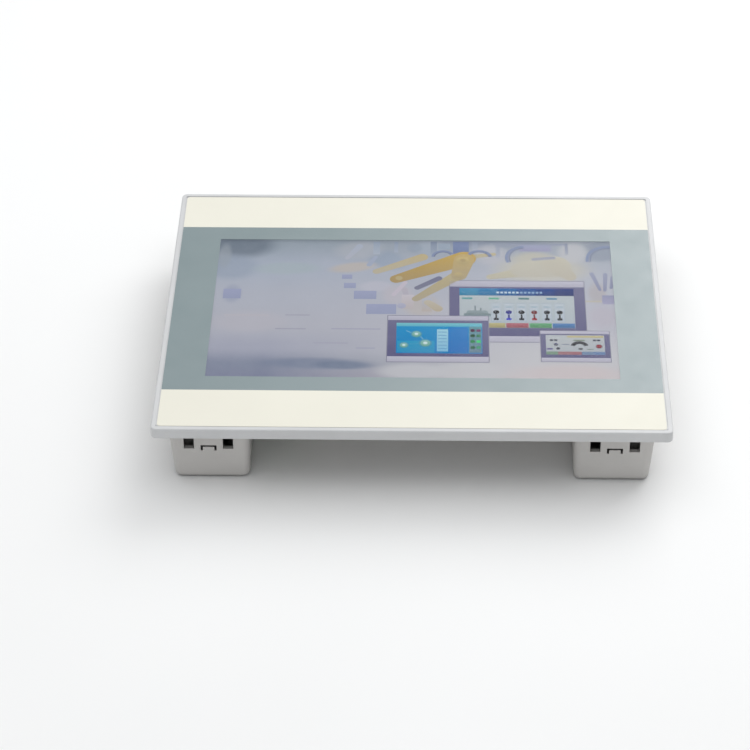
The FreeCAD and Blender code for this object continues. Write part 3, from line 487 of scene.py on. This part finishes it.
class Painting:
    """Thin flat shapes laid over the display, each with its own colours."""

    def __init__(self, name):
        self.name = name
        self.mesh = bmesh.new()
        self.paint = self.mesh.loops.layers.float_color.new(PAINT)

    def shape(self, points, layer, colour, fade=None):
        """A closed outline of (u, v) parts of the picture, as a thin plate in its layer.

        Its colour changes to fade, if there is one, down to its lowest point."""
        low_v = min(v for _, v in points)
        high_v = max(v for _, v in points)
        rings = []
        for z in (PICTURE_Z + layer * LAYER, PICTURE_Z + (layer + LAYER_FILL) * LAYER):
            ring = []
            for u, v in points:
                x = PICTURE_LOW.x + u * PICTURE_SIZE.x
                y = PICTURE_LOW.y + v * PICTURE_SIZE.y
                ring.append(self.mesh.verts.new((x, y, z)))
            rings.append(ring)
        bottom, top = rings
        faces = [self.mesh.faces.new(top), self.mesh.faces.new(bottom[::-1])]
        for i in range(len(points)):
            j = (i + 1) % len(points)
            faces.append(self.mesh.faces.new((bottom[i], bottom[j], top[j], top[i])))
        first, last = Vector(linear(*colour)), Vector(linear(*(fade or colour)))
        for face in faces:
            for loop in face.loops:
                v = (loop.vert.co.y - PICTURE_LOW.y) / PICTURE_SIZE.y
                height = (v - low_v) / max(high_v - low_v, 1e-6)
                loop[self.paint] = last.lerp(first, height)

    def bar(self, u, v, layer, colour, fade=None):
        """An upright rectangle between two u and two v."""
        self.shape([(u[0], v[0]), (u[1], v[0]), (u[1], v[1]), (u[0], v[1])], layer, colour, fade)

    def disc(self, u, v, radius, layer, colour, fade=None, sides=ARC_STEPS):
        """A round spot; its radius is a part of the picture's width."""
        self.shape(arc_points(u, v, radius, 0, 360, sides)[:-1], layer, colour, fade)

    def arc(self, u, v, radius, width, turn, layer, colour):
        """A curved band between the two angles in turn."""
        outer = arc_points(u, v, radius + width / 2, *turn, ARC_STEPS)
        inner = arc_points(u, v, radius - width / 2, *turn, ARC_STEPS)
        self.shape(outer + inner[::-1], layer, colour)

    def link(self, start, end, radii, layer, colour, fade=None):
        """A machine arm's link: two round ends of different size and the sides that join them."""
        across, up = end[0] - start[0], (end[1] - start[1]) / ASPECT
        heading = math.degrees(math.atan2(up, across))
        tail = arc_points(*start, radii[0], heading + 90, heading + 270, END_STEPS)
        nose = arc_points(*end, radii[1], heading - 90, heading + 90, END_STEPS)
        self.shape(tail + nose, layer, colour, fade)

    def finish(self):
        piece = make_piece(self.name, self.mesh, PICTURE)
        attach(piece, "root")


def arc_points(u, v, radius, start, end, count):
    """Points round (u, v), round on the screen although the picture is wider than high."""
    points = []
    for i in range(count + 1):
        angle = math.radians(start + (end - start) * i / count)
        points.append((u + radius * math.cos(angle), v + radius * ASPECT * math.sin(angle)))
    return points


OCHRE, OCHRE_DARK, OCHRE_PALE = (190, 158, 86), (162, 138, 96), (184, 166, 128)
STEEL_BLUE, STEEL_DARK, PLUM = (128, 138, 168), (112, 118, 144), (122, 134, 168)


def paint_plant():
    """A plant in the mist: jointed arms, hoops of cable, ducts and racks."""
    p = Painting("screen_plant")
    for u, v, half_u, half_v in (
        (0.420, 0.495, 0.037, 0.036),
        (0.379, 0.597, 0.028, 0.030),
        (0.340, 0.665, 0.015, 0.019),
        (0.332, 0.730, 0.013, 0.016),
        (0.048, 0.600, 0.022, 0.035),
    ):
        p.bar((u - half_u, u + half_u), (v - half_v, v + half_v), 0, (152, 155, 183), (146, 150, 177))
    for u, v, length, colour in (
        (0.200, 0.350, 0.075, (158, 156, 171)),
        (0.360, 0.352, 0.120, (160, 158, 176)),
        (0.300, 0.252, 0.085, (162, 160, 176)),
        (0.385, 0.218, 0.046, (158, 158, 176)),
        (0.090, 0.445, 0.110, (180, 174, 182)),
        (0.215, 0.448, 0.060, (160, 158, 172)),
    ):
        p.bar((u - length / 2, u + length / 2), (v - 0.004, v + 0.004), 0, colour)
    p.bar((0.597, 0.637), (0.905, 0.999), 0, PLUM, (112, 124, 160))
    p.bar((0.540, 0.556), (0.900, 0.999), 0, (128, 138, 158), (150, 158, 174))
    p.bar((0.646, 0.660), (0.930, 0.999), 0, (146, 154, 172), (164, 168, 182))
    p.bar((0.705, 0.716), (0.880, 0.999), 0, (140, 146, 164), (166, 168, 182))
    p.bar((0.880, 0.888), (0.905, 0.990), 0, (136, 142, 162), (160, 162, 176))
    p.bar((0.560, 0.590), (0.940, 0.985), 0, (150, 160, 176))
    p.bar((0.765, 0.845), (0.930, 0.985), 0, (152, 158, 182), (150, 146, 174))
    p.bar((0.730, 0.880), (0.976, 0.986), 1, (146, 150, 170))
    for u, v, radius, turn in (
        (0.572, 0.880, 0.026, (30, 175)),
        (0.663, 0.876, 0.030, (10, 150)),
        (0.780, 0.880, 0.048, (95, 205)),
        (0.990, 0.870, 0.055, (85, 190)),
    ):
        p.arc(u, v, radius, 0.008, turn, 4, STEEL_BLUE)
        p.arc(u, v, radius * 0.86, 0.003, turn, 5, STEEL_DARK)
    p.link((0.770, 0.790), (0.850, 0.815), (0.030, 0.044), 1, (190, 184, 170), (182, 175, 164))
    p.link((0.850, 0.830), (0.890, 0.740), (0.030, 0.016), 2, (188, 181, 167), (180, 171, 158))
    p.link((0.690, 0.735), (0.765, 0.770), (0.010, 0.018), 0, (186, 178, 156), (180, 172, 156))
    p.link((0.800, 0.868), (0.850, 0.880), (0.006, 0.006), 3, (150, 152, 170), (164, 162, 170))
    p.link((0.405, 0.770), (0.520, 0.880), (0.010, 0.014), 1, OCHRE_PALE, (178, 168, 150))
    p.link((0.455, 0.715), (0.625, 0.870), (0.016, 0.030), 2, OCHRE, OCHRE_DARK)
    p.link((0.625, 0.860), (0.612, 0.745), (0.026, 0.020), 3, (188, 162, 108), (166, 150, 120))
    p.link((0.505, 0.570), (0.606, 0.740), (0.010, 0.018), 2, (178, 162, 124), (168, 156, 136))
    p.link((0.508, 0.650), (0.562, 0.722), (0.0075, 0.0085), 4, (112, 112, 138), (122, 122, 140))
    p.disc(0.622, 0.856, 0.017, 4, (196, 172, 120), (170, 152, 112))
    p.disc(0.622, 0.856, 0.007, 5, (170, 150, 110))
    p.disc(0.610, 0.748, 0.011, 4, (186, 164, 116), (164, 148, 114))
    p.disc(0.462, 0.722, 0.009, 4, (178, 160, 122))
    p.link((0.450, 0.600), (0.478, 0.690), (0.006, 0.006), 1, (188, 178, 190))
    p.bar((0.470, 0.500), (0.500, 0.600), 1, (190, 182, 190), (180, 170, 172))
    p.bar((0.520, 0.545), (0.480, 0.575), 1, (172, 174, 186), (178, 166, 160))
    p.link((0.476, 0.640), (0.486, 0.560), (0.008, 0.005), 0, (176, 168, 178), (170, 166, 180))
    p.link((0.535, 0.545), (0.560, 0.500), (0.010, 0.012), 2, (184, 174, 160), (174, 160, 140))
    p.disc(0.470, 0.520, 0.011, 2, (172, 170, 188), (160, 160, 182))
    p.link((0.386, 0.820), (0.402, 0.880), (0.007, 0.005), 0, (158, 164, 184))
    p.link((0.330, 0.870), (0.360, 0.960), (0.006, 0.009), 0, (164, 170, 186), (172, 172, 184))
    p.bar((0.395, 0.412), (0.900, 0.995), 0, (146, 156, 174), (166, 172, 186))
    p.bar((0.448, 0.458), (0.915, 0.995), 0, (140, 150, 170), (160, 166, 182))
    p.link((0.642, 0.885), (0.700, 0.905), (0.009, 0.006), 1, (182, 168, 136), (176, 168, 150))
    for start, end in (
        ((0.944, 0.765), (0.962, 0.645)),
        ((0.978, 0.760), (0.974, 0.640)),
        ((0.996, 0.740), (0.990, 0.660)),
    ):
        p.link(start, end, (0.006, 0.004), 1, (150, 152, 174), (132, 134, 160))
    p.bar((0.966, 0.998), (0.540, 0.605), 1, (140, 140, 168), (156, 152, 178))
    p.bar((0.912, 0.964), (0.555, 0.566), 1, (180, 172, 160))
    p.finish()


PANEL_FRAME, PANEL_FRAME_LOW = (104, 101, 134), (88, 84, 122)
PANEL_STRIP, PANEL_STRIP_LOW = (184, 180, 195), (170, 166, 182)
PANEL_OUTLINE, OUTLINE_W = (132, 130, 146), 0.0022
INK = (16, 16, 24)


def pictured_panel(p, u, v, top_strip, bottom_strip, layer):
    """A pictured terminal: dark outline, two pale strips and a plum frame between them."""
    outline_u = (u[0] - OUTLINE_W, u[1] + OUTLINE_W)
    outline_v = (v[0] - 2 * OUTLINE_W, v[1] + 2 * OUTLINE_W)
    p.bar(outline_u, outline_v, layer, PANEL_OUTLINE)
    p.bar(u, (v[1] - top_strip, v[1]), layer + 1, PANEL_STRIP, PANEL_STRIP_LOW)
    p.bar(u, (v[0], v[0] + bottom_strip), layer + 1, PANEL_STRIP, PANEL_STRIP_LOW)
    p.bar(u, (v[0] + bottom_strip, v[1] - top_strip), layer + 1, PANEL_FRAME, PANEL_FRAME_LOW)


def spread(low, high, count):
    """Evenly spaced places, both ends among them."""
    return [low + (high - low) * i / (count - 1) for i in range(count)]


def shade_by(colour, factor):
    """A colour of 0 to 255 made darker or lighter."""
    return tuple(min(round(c * factor), 255) for c in colour)


def key_row(p, low, high, v, layer, keys, gap=0.0, fade_by=None):
    """A row of coloured keys along the foot of a pictured screen."""
    edges = spread(low, high, len(keys) + 1)
    for i, key in enumerate(keys):
        fade = shade_by(key, fade_by) if fade_by else None
        p.bar((edges[i] + gap, edges[i + 1] - gap), v, layer, key, fade)


def paint_line_panel():
    """Large pictured terminal: a title bar, a tank and six pumps over a row of keys."""
    p = Painting("screen_panel_line")
    pictured_panel(p, (0.589, 0.922), (0.268, 0.704), 0.042, 0.040, 1)
    low, high = (0.613, 0.896), (0.366, 0.650)
    p.bar(low, high, 3, (178, 184, 188), (166, 172, 180))
    blues = [(60, 140, 180), (44, 120, 172), (30, 98, 162), (22, 76, 148), (16, 58, 132), (12, 42, 116)]
    edges = spread(*low, len(blues) + 1)
    for i, blue in enumerate(blues):
        p.bar((edges[i], edges[i + 1]), (0.598, high[1]), 4, blue, shade_by(blue, 0.85))
    dashes = spread(0.705, 0.812, 12)
    for u in dashes[:6]:
        p.bar((u, u + 0.0062), (0.614, 0.627), 5, (186, 204, 214))
    for u in dashes[6:]:
        p.bar((u, u + 0.0062), (0.614, 0.627), 5, (136, 166, 196))
    for u, colour in (
        (0.619, (92, 148, 152)),
        (0.685, (98, 164, 140)),
        (0.759, (76, 118, 122)),
        (0.828, (92, 132, 160)),
    ):
        p.bar((u, u + 0.026), (0.570, 0.583), 4, colour)
    p.bar((0.624, 0.690), (0.446, 0.468), 4, (110, 124, 128), (126, 142, 150))
    p.link((0.638, 0.476), (0.676, 0.476), (0.008, 0.008), 4, (140, 152, 156), (124, 138, 142))
    p.bar((0.650, 0.653), (0.486, 0.524), 4, (104, 116, 122))
    p.bar((0.664, 0.667), (0.486, 0.508), 4, (104, 116, 122))
    lamps = [INK, (34, 34, 128), INK, (104, 24, 32), INK, INK]
    for u, lamp in zip(spread(0.703, 0.859, 6), lamps):
        p.bar((u - 0.0125, u + 0.0125), (0.408, 0.545), 4, (150, 164, 178))
        p.bar((u - 0.0115, u + 0.0115), (0.411, 0.541), 5, (182, 188, 196), (170, 178, 190))
        p.bar((u - 0.0085, u + 0.0085), (0.508, 0.524), 6, (158, 172, 184))
        p.disc(u, 0.478, 0.0078, 6, lamp)
        p.disc(u - 0.0020, 0.485, 0.0016, 7, (110, 114, 130), sides=12)
        p.bar((u - 0.0022, u + 0.0022), (0.432, 0.462), 6, lamp)
        p.bar((u - 0.0062, u + 0.0062), (0.421, 0.436), 7, shade_by(lamp, 1.4))
    keys = [(46, 66, 150), (182, 170, 120), (170, 92, 104), (92, 158, 110), (70, 120, 176)]
    key_row(p, *low, (high[0] + 0.001, 0.400), 4, keys, 0.001, 0.8)
    p.finish()


def paint_flow_panel():
    """Lower left pictured terminal: blue mimic of tanks, dials and a level column."""
    p = Painting("screen_panel_flow")
    pictured_panel(p, (0.438, 0.683), (0.126, 0.446), 0.030, 0.036, 7)
    low, high = (0.459, 0.668), (0.184, 0.396)
    p.bar(low, high, 9, (12, 138, 190), (6, 118, 180))
    p.bar(low, (0.372, high[1]), 10, (116, 186, 196), (84, 166, 188))
    p.bar((0.586, 0.634), (0.190, 0.366), 10, (26, 118, 186), (20, 104, 176))
    p.bar((0.462, 0.552), (0.190, 0.270), 10, (26, 146, 186), (20, 134, 180))
    p.bar((0.558, 0.585), (0.198, 0.352), 11, (154, 198, 214), (120, 176, 206))
    for v in spread(0.215, 0.330, 6):
        p.bar((0.561, 0.582), (v, v + 0.005), 12, (96, 150, 190))
    for u, v, radius in ((0.508, 0.318, 0.0105), (0.530, 0.255, 0.0120), (0.478, 0.240, 0.0090)):
        p.disc(u, v, radius * 1.35, 11, (72, 142, 176), (60, 138, 160))
        p.disc(u, v, radius, 12, (132, 178, 176), (104, 160, 138))
        p.disc(u, v, radius * 0.45, 13, (206, 220, 222), (180, 206, 206), 18)
    for start, end in (
        ((0.484, 0.340), (0.500, 0.322)),
        ((0.516, 0.306), (0.528, 0.272)),
        ((0.486, 0.246), (0.520, 0.252)),
    ):
        p.link(start, end, (0.0014, 0.0014), 10, (110, 168, 196))
    p.bar((0.636, 0.666), (0.190, 0.372), 11, (92, 140, 150), (96, 122, 140))
    for v, colour in (
        (0.345, (70, 28, 60)),
        (0.308, (24, 72, 44)),
        (0.268, (34, 128, 70)),
        (0.226, (28, 92, 62)),
    ):
        p.disc(0.645, v, 0.0060, 12, colour, sides=18)
        p.bar((0.654, 0.664), (v - 0.008, v + 0.008), 12, shade_by(colour, 1.6))
    p.finish()


def paint_station_panel():
    """Lower right pictured terminal: a white station view with a red stop button."""
    p = Painting("screen_panel_station")
    pictured_panel(p, (0.810, 0.976), (0.134, 0.346), 0.020, 0.026, 7)
    low, high = (0.822, 0.964), (0.182, 0.317)
    p.bar(low, high, 9, (176, 178, 182), (164, 168, 176))
    p.bar((0.874, 0.962), (0.300, 0.314), 10, (188, 176, 130), (176, 166, 130))
    for u in (0.832, 0.842, 0.936, 0.946):
        p.bar((u, u + 0.008), (0.276, 0.288), 10, (58, 60, 78))
    p.arc(0.903, 0.236, 0.0170, 0.0105, (15, 165), 10, (44, 42, 50))
    p.bar((0.889, 0.917), (0.276, 0.286), 11, (118, 128, 116))
    p.disc(0.846, 0.252, 0.0055, 10, (74, 70, 116), (96, 100, 96), 18)
    p.disc(0.851, 0.224, 0.0048, 10, (58, 58, 74), None, 18)
    p.bar((0.824, 0.838), (0.216, 0.226), 10, (88, 78, 132))
    p.bar((0.900, 0.910), (0.216, 0.228), 10, (64, 64, 72))
    p.bar((0.861, 0.879), (0.250, 0.255), 10, (120, 124, 140))
    p.bar((0.921, 0.937), (0.216, 0.222), 10, (120, 130, 122))
    p.disc(0.950, 0.240, 0.0085, 10, (120, 112, 118), None, 20)
    p.disc(0.950, 0.240, 0.0066, 11, (150, 44, 58), (122, 34, 50), 20)
    keys = [(112, 138, 118), (150, 104, 110), (150, 98, 106), (104, 126, 156), (96, 120, 160)]
    key_row(p, *low, (high[0], 0.203), 10, keys)
    p.finish()


# ---------------------------------------------------------------- small fittings
class Fitting:
    """One visible piece built from several closed blocks."""

    def __init__(self, name, slot):
        self.name = name
        self.slot = slot
        self.mesh = bmesh.new()

    def block(self, low, high):
        """A box between two corners."""
        corners = []
        for z in (low[2], high[2]):
            for x, y in ((low[0], low[1]), (high[0], low[1]), (high[0], high[1]), (low[0], high[1])):
                corners.append(self.mesh.verts.new((x, y, z)))
        sides = [(3, 2, 1, 0), (4, 5, 6, 7)]
        sides += [(i, (i + 1) % 4, (i + 1) % 4 + 4, i + 4) for i in range(4)]
        for side in sides:
            self.mesh.faces.new([corners[i] for i in side])

    def finish(self):
        piece = make_piece(self.name, self.mesh, FINISHES[self.slot])
        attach(piece, "root")


INK_T = 0.02 * MM  # printed ink stands this proud of its film
LABEL_EDGE, LABEL_RULE = 2.0 * MM, 0.25 * MM
LABEL_ROWS = (0.26, 0.44, 0.62)  # rules across the label, as parts of the frame's height


def print_label():
    """Rules and blank fields of the rating label; it carries no lettering."""
    low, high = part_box("rating_label")
    ink = Fitting("label_print", "black_plastic")
    z = (low.z - INK_T, low.z)
    edge, rule = LABEL_EDGE, LABEL_RULE
    left, right, bottom, top = low.x + edge, high.x - edge, low.y + edge, high.y - edge
    width, height = right - left, top - bottom
    rows = [bottom + part * height for part in LABEL_ROWS]

    def line(x, y):
        ink.block((x[0], y[0], z[0]), (x[1], y[1], z[1]))

    for y in (bottom, top - rule):
        line((left, right), (y, y + rule))
    for x in (left, right - rule):
        line((x, x + rule), (bottom + rule, top - rule))
    for row in rows:
        line((left + rule, right - rule), (row, row + rule))
    column = left + 0.36 * width
    line((column, column + rule), (rows[0] + rule, rows[1]))
    line((left + 0.06 * width, left + 0.30 * width), (bottom + 0.72 * height, bottom + 0.86 * height))
    bar = left + 0.56 * width
    random.seed(7)
    while bar < right - 3 * MM:
        thickness = random.choice((0.25, 0.4, 0.6)) * MM
        line((bar, bar + thickness), (bottom + 0.70 * height, bottom + 0.90 * height))
        bar += thickness + random.choice((0.3, 0.45, 0.7)) * MM
    ink.finish()


def flat_box(x, y, half_x, half_y):
    return Vector((x - half_x, y - half_y, 0)), Vector((x + half_x, y + half_y, 0))


def stands_clear(spot, half, boxes, margin):
    """True where a part of the given half size would stand clear of every box, seen from behind."""
    for low, high in boxes:
        if low.x - margin < spot[0] + half and spot[0] - half < high.x + margin:
            if low.y - margin < spot[1] + half and spot[1] - half < high.y + margin:
                return False
    return True


BOARD_PARTS = (
    "processor processor_heatsink memory_chips filter_capacitors power_inductors coin_cell_holder"
    " buzzer lcd_socket touch_socket serial_1_insert serial_2_insert ethernet_shield"
    " usb_device_shell usb_host_shell power_socket dip_switch"
).split()
BOARD_MARGIN, SCREW_HEAD_R = 4 * MM, 4.5 * MM
SMALL_PART_COUNT, SMALL_PART_GAP = 170, 1.4 * MM
SMALL_PART_SIZES = ((0.8, 0.4), (1.0, 0.6), (1.6, 0.8))  # half length and half width, mm
SMALL_PART_RISE = 0.9  # its height, as a part of its half width
END_SHARE, END_PROUD = 0.25, 1.06  # an end's part of the half length, and its extra height


def populate_board():
    """Chip resistors and capacitors scattered over the free area of the board's rear side."""
    low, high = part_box("main_board")
    taken = [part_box(node) for node in BOARD_PARTS]
    screw_low, screw_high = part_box("board_screws")
    for x in (screw_low.x, (screw_low.x + screw_high.x) / 2, screw_high.x):
        for y in (screw_low.y, screw_high.y):
            taken.append(flat_box(x, y, SCREW_HEAD_R, SCREW_HEAD_R))
    dark = Fitting("chip_resistors", "chip_plastic")
    pale = Fitting("chip_capacitors", "white_plastic")
    ends = Fitting("chip_ends", "connector_metal")
    random.seed(11)
    placed = 0
    while placed < SMALL_PART_COUNT:
        half_length, half_width = (half * MM for half in random.choice(SMALL_PART_SIZES))
        x = random.uniform(low.x + BOARD_MARGIN, high.x - BOARD_MARGIN)
        y = random.uniform(low.y + BOARD_MARGIN, high.y - BOARD_MARGIN)
        if not stands_clear((x, y), half_length, taken, SMALL_PART_GAP):
            continue
        placed += 1
        upright = random.random() < 0.5
        axis = 1 if upright else 0
        size = [half_width, half_length] if upright else [half_length, half_width]
        taken.append(flat_box(x, y, *size))
        height = SMALL_PART_RISE * half_width
        body = random.choice((dark, pale))
        end = END_SHARE * half_length
        inner = list(size)
        inner[axis] -= end
        body.block((x - inner[0], y - inner[1], low.z - height), (x + inner[0], y + inner[1], low.z))
        for side in (-1, 1):
            middle, reach = [x, y], list(size)
            middle[axis] += side * (size[axis] - end / 2)
            reach[axis] = end / 2
            ends.block(
                (middle[0] - reach[0], middle[1] - reach[1], low.z - END_PROUD * height),
                (middle[0] + reach[0], middle[1] + reach[1], low.z),
            )
    for fitting in (dark, pale, ends):
        fitting.finish()


LEAD_PITCH, LEAD_REACH, LEAD_W, LEAD_DROP = 0.8 * MM, 1.0 * MM, 0.32 * MM, 0.18 * MM


def chip_leads():
    """Solder-plated leads along the sides of the processor package and the memory chips."""
    leads = Fitting("chip_leads", "connector_metal")
    low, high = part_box("processor")
    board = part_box("main_board")[0].z

    def lead(x, y):
        leads.block((x[0], y[0], board - LEAD_DROP), (x[1], y[1], board))

    def across(place):
        return place - LEAD_W / 2, place + LEAD_W / 2

    def beside(low_side, high_side):
        return (low_side - LEAD_REACH, low_side), (high_side, high_side + LEAD_REACH)

    count = int((high.x - low.x - 3 * MM) / LEAD_PITCH)
    for i in range(count):
        along = -LEAD_PITCH * (count - 1) / 2 + i * LEAD_PITCH
        x, y = (low.x + high.x) / 2 + along, (low.y + high.y) / 2 + along
        for reach in beside(low.y, high.y):
            lead(across(x), reach)
        for reach in beside(low.x, high.x):
            lead(reach, across(y))
    low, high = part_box("memory_chips")
    count = int((high.x - low.x - 2 * MM) / LEAD_PITCH)
    for i in range(count):
        x = low.x + 1.2 * MM + i * LEAD_PITCH
        for reach in beside(low.y, high.y):
            lead(across(x), reach)
    leads.finish()


# ---------------------------------------------------------------- studio
FLOOR_HALF = 3.0
SKY_COLOUR, SKY_STRENGTH = (0.96, 0.98, 1.0, 1.0), 0.45


def build_studio():
    """Pale floor, even sky, and three area lights."""
    scene = bpy.context.scene
    scene.view_settings.view_transform = "Standard"
    world = bpy.data.worlds.new("studio")
    scene.world = world
    world.use_nodes = True
    background = world.node_tree.nodes["Background"]
    background.inputs["Color"].default_value = SKY_COLOUR
    background.inputs["Strength"].default_value = SKY_STRENGTH
    data = bpy.data.meshes.new("floor")
    half = FLOOR_HALF
    corners = [(-half, -half, 0), (half, -half, 0), (half, half, 0), (-half, half, 0)]
    data.from_pydata(corners, [], [(0, 1, 2, 3)])
    data.materials.append(floor_finish())
    floor = bpy.data.objects.new("floor", data)
    scene.collection.objects.link(floor)
    area_light("overhead", (-0.05, 0.15, 1.55), (0, 0, 0), (2.2, 2.0), 15.8)
    area_light("back_right", (0.74, 1.26, 1.14), (0.05, 0, 0.04), (1.50, 1.0), 15.5)
    area_light("front_fill", (-0.30, -1.90, 0.75), (0, 0, 0.02), (2.4, 1.0), 2.5)


def area_light(name, place, target, size, power):
    """A rectangular light at a place, facing a target. Power in watts."""
    data = bpy.data.lights.new(name, "AREA")
    data.shape = "RECTANGLE"
    data.size, data.size_y = size
    data.energy = power
    light = bpy.data.objects.new(name, data)
    light.location = place
    light.rotation_euler = (Vector(target) - Vector(place)).to_track_quat("-Z", "Y").to_euler()
    bpy.context.scene.collection.objects.link(light)


CAMERA_AZIMUTH, CAMERA_ELEVATION, CAMERA_ROLL = 1.74, 38.84, -0.65  # degrees
CAMERA_DISTANCE = 1.3992
CAMERA_LENS, CAMERA_SENSOR = 126.5, 36.0  # mm
CAMERA_AIM = Vector((-0.0198, -0.0602, FRONT_Z))


def build_camera():
    """Camera that looks down on the terminal from in front of its lower edge."""
    data = bpy.data.cameras.new("camera")
    data.lens = CAMERA_LENS
    data.sensor_width = CAMERA_SENSOR
    data.clip_start, data.clip_end = 0.05, 20.0
    camera = bpy.data.objects.new("camera", data)
    azimuth, elevation = math.radians(CAMERA_AZIMUTH), math.radians(CAMERA_ELEVATION)
    level = math.cos(elevation)
    away = Vector((math.sin(azimuth) * level, -math.cos(azimuth) * level, math.sin(elevation)))
    camera.location = CAMERA_AIM + away * CAMERA_DISTANCE
    look = (-away).to_track_quat("-Z", "Y")
    roll = Quaternion((0, 0, 1), math.radians(CAMERA_ROLL))
    camera.rotation_mode = "QUATERNION"
    camera.rotation_quaternion = look @ roll
    bpy.context.scene.collection.objects.link(camera)
    bpy.context.scene.camera = camera


# ---------------------------------------------------------------- build
build_camera()
build_studio()
paint_frame()
paint_plant()
paint_line_panel()
paint_flow_panel()
paint_station_panel()
print_label()
chip_leads()
populate_board()
